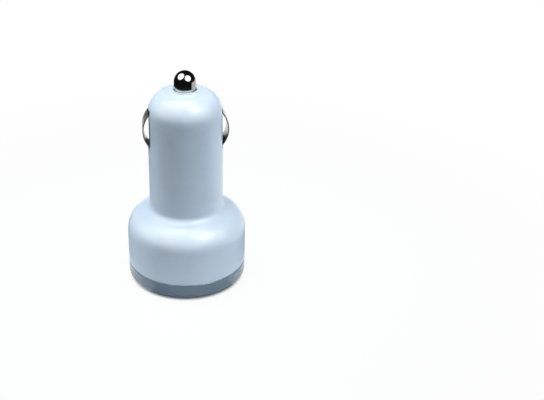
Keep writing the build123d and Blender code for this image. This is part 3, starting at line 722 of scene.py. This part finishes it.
class CHARGER_OT_ports(bpy.types.Operator):
    """Port shell, middle shield, tongues and contacts"""

    bl_idname = "charger.ports"
    bl_label = "Ports"

    def execute(self, context):
        sizes = context.scene.charger_sizes
        colours = context.scene.charger_colours
        paint(plated("Port Steel", colours.port_steel, 0.31, sizes), "usb_shell")
        paint(plated("Shield Sheet", colours.shield, 0.38, sizes), "usb_middle_shield")
        paint(plated("Contact Strip", colours.contact, 0.20, sizes), *CONTACTS)
        plastic = moulded("Tongue Plastic", colours.tongue, 0.46, sizes.grain, 0.12, 0.15, 0.006, IOR=1.55)
        paint(plastic, "usb_insulator")
        return {"FINISHED"}


class CHARGER_OT_board(bpy.types.Operator):
    """Circuit board, the parts on it and their solder"""

    bl_idname = "charger.board"
    bl_label = "Circuit Board"

    def execute(self, context):
        sizes = context.scene.charger_sizes
        colours = context.scene.charger_colours
        self.paint_board(sizes, colours)
        self.paint_cans(sizes, colours)
        self.paint_inductor(sizes, colours)
        self.paint_chip(sizes, colours)
        resin = moulded(
            "Lamp Resin", colours.lamp, 0.12, sizes.peel, 0.2, 0.1, 0.003, IOR=1.52, Transmission_Weight=0.6
        )
        paint(resin, "indicator_lamp")
        along = (0.0, 0.0, 1.0)
        across = (1.0, 0.0, 0.0)
        for name, tint, roughness, direction, solids in (
            ("Diode Body", colours.black, 0.45, across, ["rectifier_diode"]),
            ("Fuse Body", colours.white_block, 0.40, along, ["input_fuse"]),
            ("Resistor Body", colours.black, 0.30, along, numbered("resistor", 6)),
            ("Ceramic Body", colours.tan_block, 0.50, along, numbered("ceramic_capacitor", 3)),
        ):
            paint(cased(name, tint, roughness, colours.solder, direction, sizes), *solids)
        self.solder_pins(sizes, colours)
        return {"FINISHED"}

    def paint_board(self, sizes, colours):
        """Green lacquer over tracks on both faces, bare laminate at the edges."""
        finish = Finish("Board Lacquer", Coat_Weight=0.3, Coat_Roughness=0.1)
        tree = finish.tree
        pads_per_metre = 330.0
        gap = ramp(tree, cell_edges(tree, place(tree), pads_per_metre), 0.04, 0.07)
        lacquer = blend(tree, gap, colours.board, shaded(colours.board, 1.9))
        normal = axes(tree, add(tree, "ShaderNodeNewGeometry").outputs["Normal"])[1]
        rim = maths(tree, "LESS_THAN", maths(tree, "ABSOLUTE", normal), 0.5)
        layers = (0.2, 4.0, 0.2)
        fibre = effect(tree, drawn_grain, spacing=sizes.grain, stretch=layers)
        woven = blend(tree, fibre["Streak"], shaded(colours.laminate, 0.7), colours.laminate)
        finish.link("Base Color", blend(tree, rim, lacquer, woven))
        finish.link("Roughness", maths(tree, "MULTIPLY_ADD", rim, 0.35, 0.30))
        finish.bump(gap, 0.03)
        paint(finish, "circuit_board")

    def paint_cans(self, sizes, colours):
        """Dark sleeve with a pale stripe, and a bare aluminium end with a pressed vent."""
        end_depth = 0.4 * MM
        lead_length = 1.3 * MM
        vent_bottom = 0.08 * MM
        vent_rim = 0.16 * MM
        for name in CANS:
            finish = Finish(name.replace("_", " ").title())
            tree = finish.tree
            low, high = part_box(name)
            width = high.x - low.x
            x, y, z = axes(tree, place(tree))
            axis_y = high.y - width / 2
            lifted = maths(tree, "SUBTRACT", y, axis_y)
            inner = maths(tree, "LESS_THAN", distance(tree, x, y, 0.0, axis_y), width * 0.40)
            at_top = maths(tree, "GREATER_THAN", z, high.z - end_depth)
            at_leads = maths(tree, "LESS_THAN", z, low.z + lead_length)
            bare = maths(tree, "MAXIMUM", maths(tree, "MULTIPLY", inner, at_top), at_leads)
            at_side = maths(tree, "GREATER_THAN", x, width * 0.36)
            stripe = maths(tree, "MULTIPLY", at_side, maths(tree, "SUBTRACT", 1.0, bare))
            skin = effect(tree, moulded_skin, spacing=sizes.grain * 3, tone_spread=0.2, gloss_spread=0.2)
            striped = blend(tree, stripe, toned(tree, colours.sleeve, skin), (0.55, 0.56, 0.58))
            finish.link("Base Color", blend(tree, bare, striped, colours.aluminium))
            finish.link("Metallic", bare)
            finish.link("Roughness", maths(tree, "ADD", skin["Gloss"], 0.32))
            cross = maths(tree, "MINIMUM", maths(tree, "ABSOLUTE", x), maths(tree, "ABSOLUTE", lifted))
            vent = ramp(tree, cross, vent_bottom, vent_rim)
            finish.bump(maths(tree, "MULTIPLY_ADD", vent, at_top, skin["Height"]), 0.05)
            paint(finish, name)

    def paint_inductor(self, sizes, colours):
        """Speckled ferrite, wound with lacquered wire."""
        core = moulded("Ferrite", colours.ferrite, 0.55, sizes.grain, 0.8, 0.3, 0.02)
        paint(core, "inductor_core")
        wire = plated("Copper Winding", colours.copper, 0.30, sizes, EVEN)
        wire.shader.inputs["Coat Weight"].default_value = 0.5
        self.wind_inductor(wire, sizes)

    def wind_inductor(self, wire, sizes):
        """Two layers of one wire, up the inside and back down over it."""
        low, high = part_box("inductor_winding")
        thick = sizes.winding_wire / 2
        length_along = high.y - low.y
        turns = int(length_along / sizes.winding_wire) - 1
        steps = 36
        outer = (high.x - low.x) / 2 - thick
        reach = length_along / 2 - thick
        places = []
        for step in range(2 * turns * steps + 1):
            turn = step / steps
            over = min(1.0, max(0.0, turn - turns + 0.5))
            along = reach * (1 - 2 * abs(turn - turns) / turns)
            places.append((turn, outer - sizes.winding_wire * (1 - over), along))
        mesh = wound_wire("inductor_wire", places, thick)
        centre = Matrix.Translation((low + high) / 2)
        mesh.transform(centre @ Matrix.Rotation(pi / 2, 4, "X"))
        wound = add_piece("inductor_wire", mesh, wire)
        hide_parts("inductor_winding")

    def paint_chip(self, sizes, colours):
        """Black case with a dot at its first lead, and tinned leads."""
        finish = Finish("Chip Body")
        tree = finish.tree
        low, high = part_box("converter_chip")
        dot_x = -1.2 * MM
        dot_z = high.z - 0.8 * MM
        dot_radius = 0.30 * MM
        dot_edge = 0.06 * MM
        x, _, z = axes(tree, place(tree))
        leads = maths(tree, "GREATER_THAN", maths(tree, "ABSOLUTE", x), (high.x - low.x) * 0.33)
        dot = ramp(tree, distance(tree, x, z, dot_x, dot_z), dot_radius, dot_radius + dot_edge)
        skin = effect(tree, moulded_skin, spacing=sizes.grain / 2, tone_spread=0.4, gloss_spread=0.2)
        finish.link("Base Color", blend(tree, leads, toned(tree, colours.black, skin), colours.solder))
        finish.link("Metallic", leads)
        finish.link("Roughness", maths(tree, "ADD", skin["Gloss"], 0.48))
        finish.bump(maths(tree, "MULTIPLY_ADD", dot, 8.0, skin["Height"]), 0.01)
        paint(finish, "converter_chip")

    def solder_pins(self, sizes, colours):
        """A concave fillet of solder round each pin under the board."""
        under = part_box("circuit_board")[0].y
        half_sheet = 0.125 * MM
        half_lead = 0.25 * MM
        can_lead = 1.25 * MM
        lamp_lead = 1.27 * MM
        pins = []
        for name in CONTACTS:
            low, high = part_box(name)
            pins.append(((low.x + high.x) / 2, high.z - half_sheet))
        for name in CANS:
            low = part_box(name)[0]
            pins += [(side * can_lead, low.z + half_lead) for side in (-1, 1)]
        low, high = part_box("indicator_lamp")
        pins += [((low.x + high.x) / 2 + side * lamp_lead, high.z - half_lead) for side in (-1, 1)]
        # Widths and heights of a fillet, from the board to the pin's end
        widths = (1.0, 0.86, 0.66, 0.52, 0.44, 0.38, 0.20)
        heights = (0.0, 0.10, 0.24, 0.45, 0.70, 0.90, 1.0)
        outline = circle(20)
        shape = bmesh.new()
        for pin_x, pin_z in pins:
            rings = []
            for width, height in zip(widths, heights):
                reach = width * sizes.fillet_width
                y = under - height * sizes.fillet_height
                rings.append([shape.verts.new((pin_x + reach * x, y, pin_z + reach * z)) for x, z in outline])
            join_rings(shape, rings)
        mesh = smooth_mesh("solder_fillets", shape)
        solder = plated("Solder", colours.solder, 0.25, sizes, EVEN)
        add_piece("solder_fillets", mesh, solder)


class CHARGER_OT_stage(bpy.types.Operator):
    """White floor, soft lamps, dark cards that the bright metal reflects, and the camera"""

    bl_idname = "charger.stage"
    bl_label = "Stage"

    def execute(self, context):
        scene = context.scene
        stage = scene.charger_stage
        scene.view_settings.view_transform = "Standard"
        self.set_world(scene, stage)
        self.lay_floor(scene, stage)
        self.hang_lamps(scene, stage)
        self.stand_cards(scene)
        self.set_camera(scene, stage)
        return {"FINISHED"}

    def seen_white(self, tree):
        """1 for what is seen straight, in a reflection or through something clear."""
        path = add(tree, "ShaderNodeLightPath").outputs
        mirrored = maths(tree, "MAXIMUM", path["Is Glossy Ray"], path["Is Transmission Ray"])
        return maths(tree, "MAXIMUM", path["Is Camera Ray"], mirrored)

    def set_world(self, scene, stage):
        """White where it is seen, and a low even light on the plug."""
        scene.world = bpy.data.worlds.new("Studio")
        scene.world.use_nodes = True
        tree = scene.world.node_tree
        light = blend(tree, self.seen_white(tree), shaded(stage.cool, stage.ambient), WHITE)
        tree.links.new(light, tree.nodes["Background"].inputs["Color"])

    def bare_material(self, name):
        """A new material, its tree without a shader, and the socket that takes one."""
        material = bpy.data.materials.new(name)
        material.use_nodes = True
        tree = material.node_tree
        tree.nodes.remove(tree.nodes["Principled BSDF"])
        return material, tree, tree.nodes["Material Output"].inputs["Surface"]

    def lay_floor(self, scene, stage):
        """Floor that reads as white and keeps a soft shadow. It is clear from below."""
        half_width = 2.0
        drop = 0.1 * MM
        shape = bmesh.new()
        bmesh.ops.create_grid(shape, x_segments=8, y_segments=8, size=half_width)
        bmesh.ops.translate(shape, verts=shape.verts, vec=(0, 0, -drop))
        mesh = made_mesh("floor", shape)
        material, tree, surface = self.bare_material("Floor Paper")
        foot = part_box("end_cap")[1].x
        under_foot = foot * 0.9
        near = 40 * MM
        nearer = 30 * MM
        far = 160 * MM
        out = vector_maths(tree, "LENGTH", place(tree))["Value"]
        fading = ramp(tree, out, near, far, stage.paper, stage.paper * 0.08)
        paper = add(tree, "ShaderNodeBsdfDiffuse", {"Color": fading}).outputs[0]
        white = add(tree, "ShaderNodeEmission", {"Color": (*WHITE, 1.0), "Strength": 1.0}).outputs[0]
        clear = add(tree, "ShaderNodeBsdfTransparent").outputs[0]
        spread = ramp(tree, out, nearer, far, stage.floor_white, 1.0)
        path = add(tree, "ShaderNodeLightPath").outputs
        # Under the plug the floor is in shade, and through the clear cap the shade reaches further out
        shade_end = maths(tree, "MULTIPLY_ADD", path["Is Transmission Ray"], foot * 0.6, foot)
        uncovered = maths(tree, "MULTIPLY", spread, ramp(tree, out, under_foot, shade_end))
        amount = maths(tree, "MULTIPLY", self.seen_white(tree), uncovered)
        lit = add(tree, "ShaderNodeMixShader", {0: amount, 1: paper, 2: white}).outputs[0]
        behind = add(tree, "ShaderNodeNewGeometry").outputs["Backfacing"]
        covered = maths(tree, "MULTIPLY", path["Is Glossy Ray"], maths(tree, "LESS_THAN", out, under_foot))
        unseen = maths(tree, "MAXIMUM", behind, covered)
        both = add(tree, "ShaderNodeMixShader", {0: unseen, 1: lit, 2: clear}).outputs[0]
        tree.links.new(both, surface)
        mesh.materials.append(material)
        floor = bpy.data.objects.new("floor", mesh)
        floor.visible_shadow = False
        scene.collection.objects.link(floor)

    def hang_lamps(self, scene, stage):
        """Soft panels round the plug, and the two lamps that the tip mirrors."""
        tip_only = bpy.data.collections.new("Tip")
        all_but_tip = bpy.data.collections.new("All But Tip")
        face_only = bpy.data.collections.new("Port Face")
        for group in (tip_only, all_but_tip):
            group.objects.link(frame["nodes"]["tip_pin"])
        all_but_tip.collection_objects[0].light_linking.link_state = "EXCLUDE"
        for name, solid in frame["nodes"].items():
            if name.startswith("usb") or name in ("end_cap", "indicator_lamp"):
                face_only.objects.link(solid)
        lit_by = {"glint": tip_only, "under": face_only}
        for name, azimuth, elevation, reach, size, power, tint in (
            ("key_left", -85, 72, 0.42, 0.38, stage.key, stage.cool),
            ("key_right", 43, 48, 0.42, 0.38, stage.key * 0.45, stage.cool),
            ("top_panel", 0, 90, 0.50, 0.28, stage.top, stage.plain),
            ("side_left", -126, 8, 0.42, 0.30, stage.side * 2.9, stage.pale),
            ("side_right", 70, 10, 0.42, 0.36, stage.side * 1.4, stage.pale),
            ("back_right", 100, 10, 0.42, 0.36, stage.side, stage.cool),
            ("sheen_top", 0, 60, 0.42, 0.45, stage.sheen * 0.45, stage.plain),
            ("sheen_left", -70, 38, 0.42, 0.60, stage.sheen * 2.40, stage.plain),
            ("sheen_front", 0, 28, 0.42, 0.45, stage.sheen * 0.84, stage.plain),
            ("sheen_right", 55, 33, 0.42, 0.42, stage.sheen * 0.9, stage.plain),
            ("sheen_low", 0, 15, 0.42, 0.45, stage.sheen * 0.30, stage.cool),
            ("sheen_spot", 42, 52, 0.42, 0.16, stage.sheen * 0.50, stage.plain),
            ("under_panel", 0, -90, 0.38, 0.40, stage.under, WHITE),
            ("glint_left", -85, 56, 0.42, 0.50, stage.glint, WHITE),
            ("glint_right", 43, 48, 0.42, 0.47, stage.glint, WHITE),
        ):
            data = bpy.data.lights.new(name, "AREA")
            data.shape = "ELLIPSE" if name.startswith("glint") else "RECTANGLE"
            data.size = size
            data.size_y = size * 0.9
            data.energy = power
            data.color = tint
            lamp = bpy.data.objects.new(name, data)
            turn = radians(azimuth)
            lift = radians(elevation)
            outward = Vector((sin(turn) * cos(lift), -cos(turn) * cos(lift), sin(lift)))
            lamp.location = Vector((0, 0, stage.aim)) + outward * reach
            lamp.rotation_euler = outward.to_track_quat("Z", "Y").to_euler()
            lamp.visible_camera = False
            lamp.visible_diffuse = not name.startswith(("sheen", "glint"))
            lamp.visible_glossy = not name.startswith(("side", "back", "under"))
            lamp.visible_transmission = False
            lamp.light_linking.receiver_collection = lit_by.get(name.split("_")[0], all_but_tip)
            scene.collection.objects.link(lamp)

    def stand_cards(self, scene):
        """Dark drum round the plug and dark cards on the floor, seen only in reflections."""
        material, tree, surface = self.bare_material("Dark Card")
        felt = add(tree, "ShaderNodeEmission", {"Color": (0.010, 0.011, 0.013, 1.0), "Strength": 1.0})
        tree.links.new(felt.outputs[0], surface)
        radius = 0.60
        top = 0.62
        steps = 48
        shape = bmesh.new()
        rims = []
        for height in (0.0, top):
            rims.append([shape.verts.new((radius * x, radius * y, height)) for x, y in circle(steps)])
        for step in range(steps):
            after = (step + 1) % steps
            shape.faces.new((rims[0][step], rims[0][after], rims[1][after], rims[1][step]))
        shape.faces.new(rims[1])
        # One floor card is at the foot in front, one rings the plug, and a wide one runs from behind on the
        # left to the front on the right
        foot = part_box("end_cap")[1].x * 0.95
        gap = 22 * MM
        skirt = 45 * MM
        height = 0.1 * MM
        for near, far, start, swept in (
            (foot, gap, 225, 95),
            (gap, skirt, 0, 360),
            (skirt, radius, 110, 230),
        ):
            inner = []
            outer = []
            for step in range(steps + 1):
                angle = radians(start + swept * step / steps)
                inner.append(shape.verts.new((near * cos(angle), near * sin(angle), height)))
                outer.append(shape.verts.new((far * cos(angle), far * sin(angle), height)))
            for step in range(steps):
                shape.faces.new((inner[step], outer[step], outer[step + 1], inner[step + 1]))
        mesh = made_mesh("dark_cards", shape)
        mesh.materials.append(material)
        cards = bpy.data.objects.new("dark_cards", mesh)
        cards.visible_camera = False
        cards.visible_diffuse = False
        cards.visible_transmission = False
        cards.visible_shadow = False
        scene.collection.objects.link(cards)

    def set_camera(self, scene, stage):
        """Camera set so that the aim point falls on its place in the picture."""
        data = bpy.data.cameras.new("camera")
        data.sensor_width = SENSOR
        data.lens = stage.focal * SENSOR / PICTURE[0]
        data.clip_start = 0.01
        camera = bpy.data.objects.new("camera", data)
        scene.collection.objects.link(camera)
        back = Vector((0, -cos(stage.elevation), sin(stage.elevation)))
        right = Vector((1, 0, 0))
        up = back.cross(right)
        spot = Vector((0, 0, stage.aim)) + back * stage.distance
        looking = Matrix((right, up, back))
        across = (stage.aim_x - PICTURE[0] / 2) / stage.focal
        down = (stage.aim_y - PICTURE[1] / 2) / stage.focal
        swing = Vector((0, 0, -1)).rotation_difference(Vector((across, -down, -1))).to_matrix()
        seen = swing @ Matrix.Rotation(stage.roll, 3, "Z") @ looking
        turn = Matrix.Rotation(stage.turn, 4, "Z")
        camera.matrix_world = turn @ Matrix.Translation(spot) @ seen.transposed().to_4x4()
        scene.camera = camera


class CHARGER_PT_panel(bpy.types.Panel):
    """Lists the charger's pieces and its settings"""

    bl_idname = "CHARGER_PT_panel"
    bl_label = "Car Charger Plug"
    bl_space_type = "VIEW_3D"
    bl_region_type = "UI"
    bl_category = "Charger"

    def draw(self, context):
        for operator in OPERATORS:
            self.layout.operator(operator.bl_idname)
        scene = context.scene
        for settings in (scene.charger_colours, scene.charger_sizes, scene.charger_stage):
            box = self.layout.box()
            for name in settings.__annotations__:
                box.prop(settings, name)


SETTINGS = (ChargerColours, ChargerSizes, ChargerStage)
OPERATORS = (
    CHARGER_OT_shell,
    CHARGER_OT_cap,
    CHARGER_OT_tip,
    CHARGER_OT_springs,
    CHARGER_OT_ports,
    CHARGER_OT_board,
    CHARGER_OT_stage,
)


def register():
    """Register the settings, operators and panel."""
    for item in SETTINGS + OPERATORS + (CHARGER_PT_panel,):
        bpy.utils.register_class(item)
    bpy.types.Scene.charger_colours = PointerProperty(type=ChargerColours)
    bpy.types.Scene.charger_sizes = PointerProperty(type=ChargerSizes)
    bpy.types.Scene.charger_stage = PointerProperty(type=ChargerStage)


def unregister():
    """Take them out again."""
    del bpy.types.Scene.charger_stage
    del bpy.types.Scene.charger_sizes
    del bpy.types.Scene.charger_colours
    for item in reversed(SETTINGS + OPERATORS + (CHARGER_PT_panel,)):
        bpy.utils.unregister_class(item)


def main():
    """Dress the plug piece by piece and set the stage."""
    register()
    bpy.ops.charger.shell()
    bpy.ops.charger.cap()
    bpy.ops.charger.tip()
    bpy.ops.charger.springs()
    bpy.ops.charger.ports()
    bpy.ops.charger.board()
    bpy.ops.charger.stage()
    bpy.context.view_layer.update()


if __name__ == "__main__":
    main()
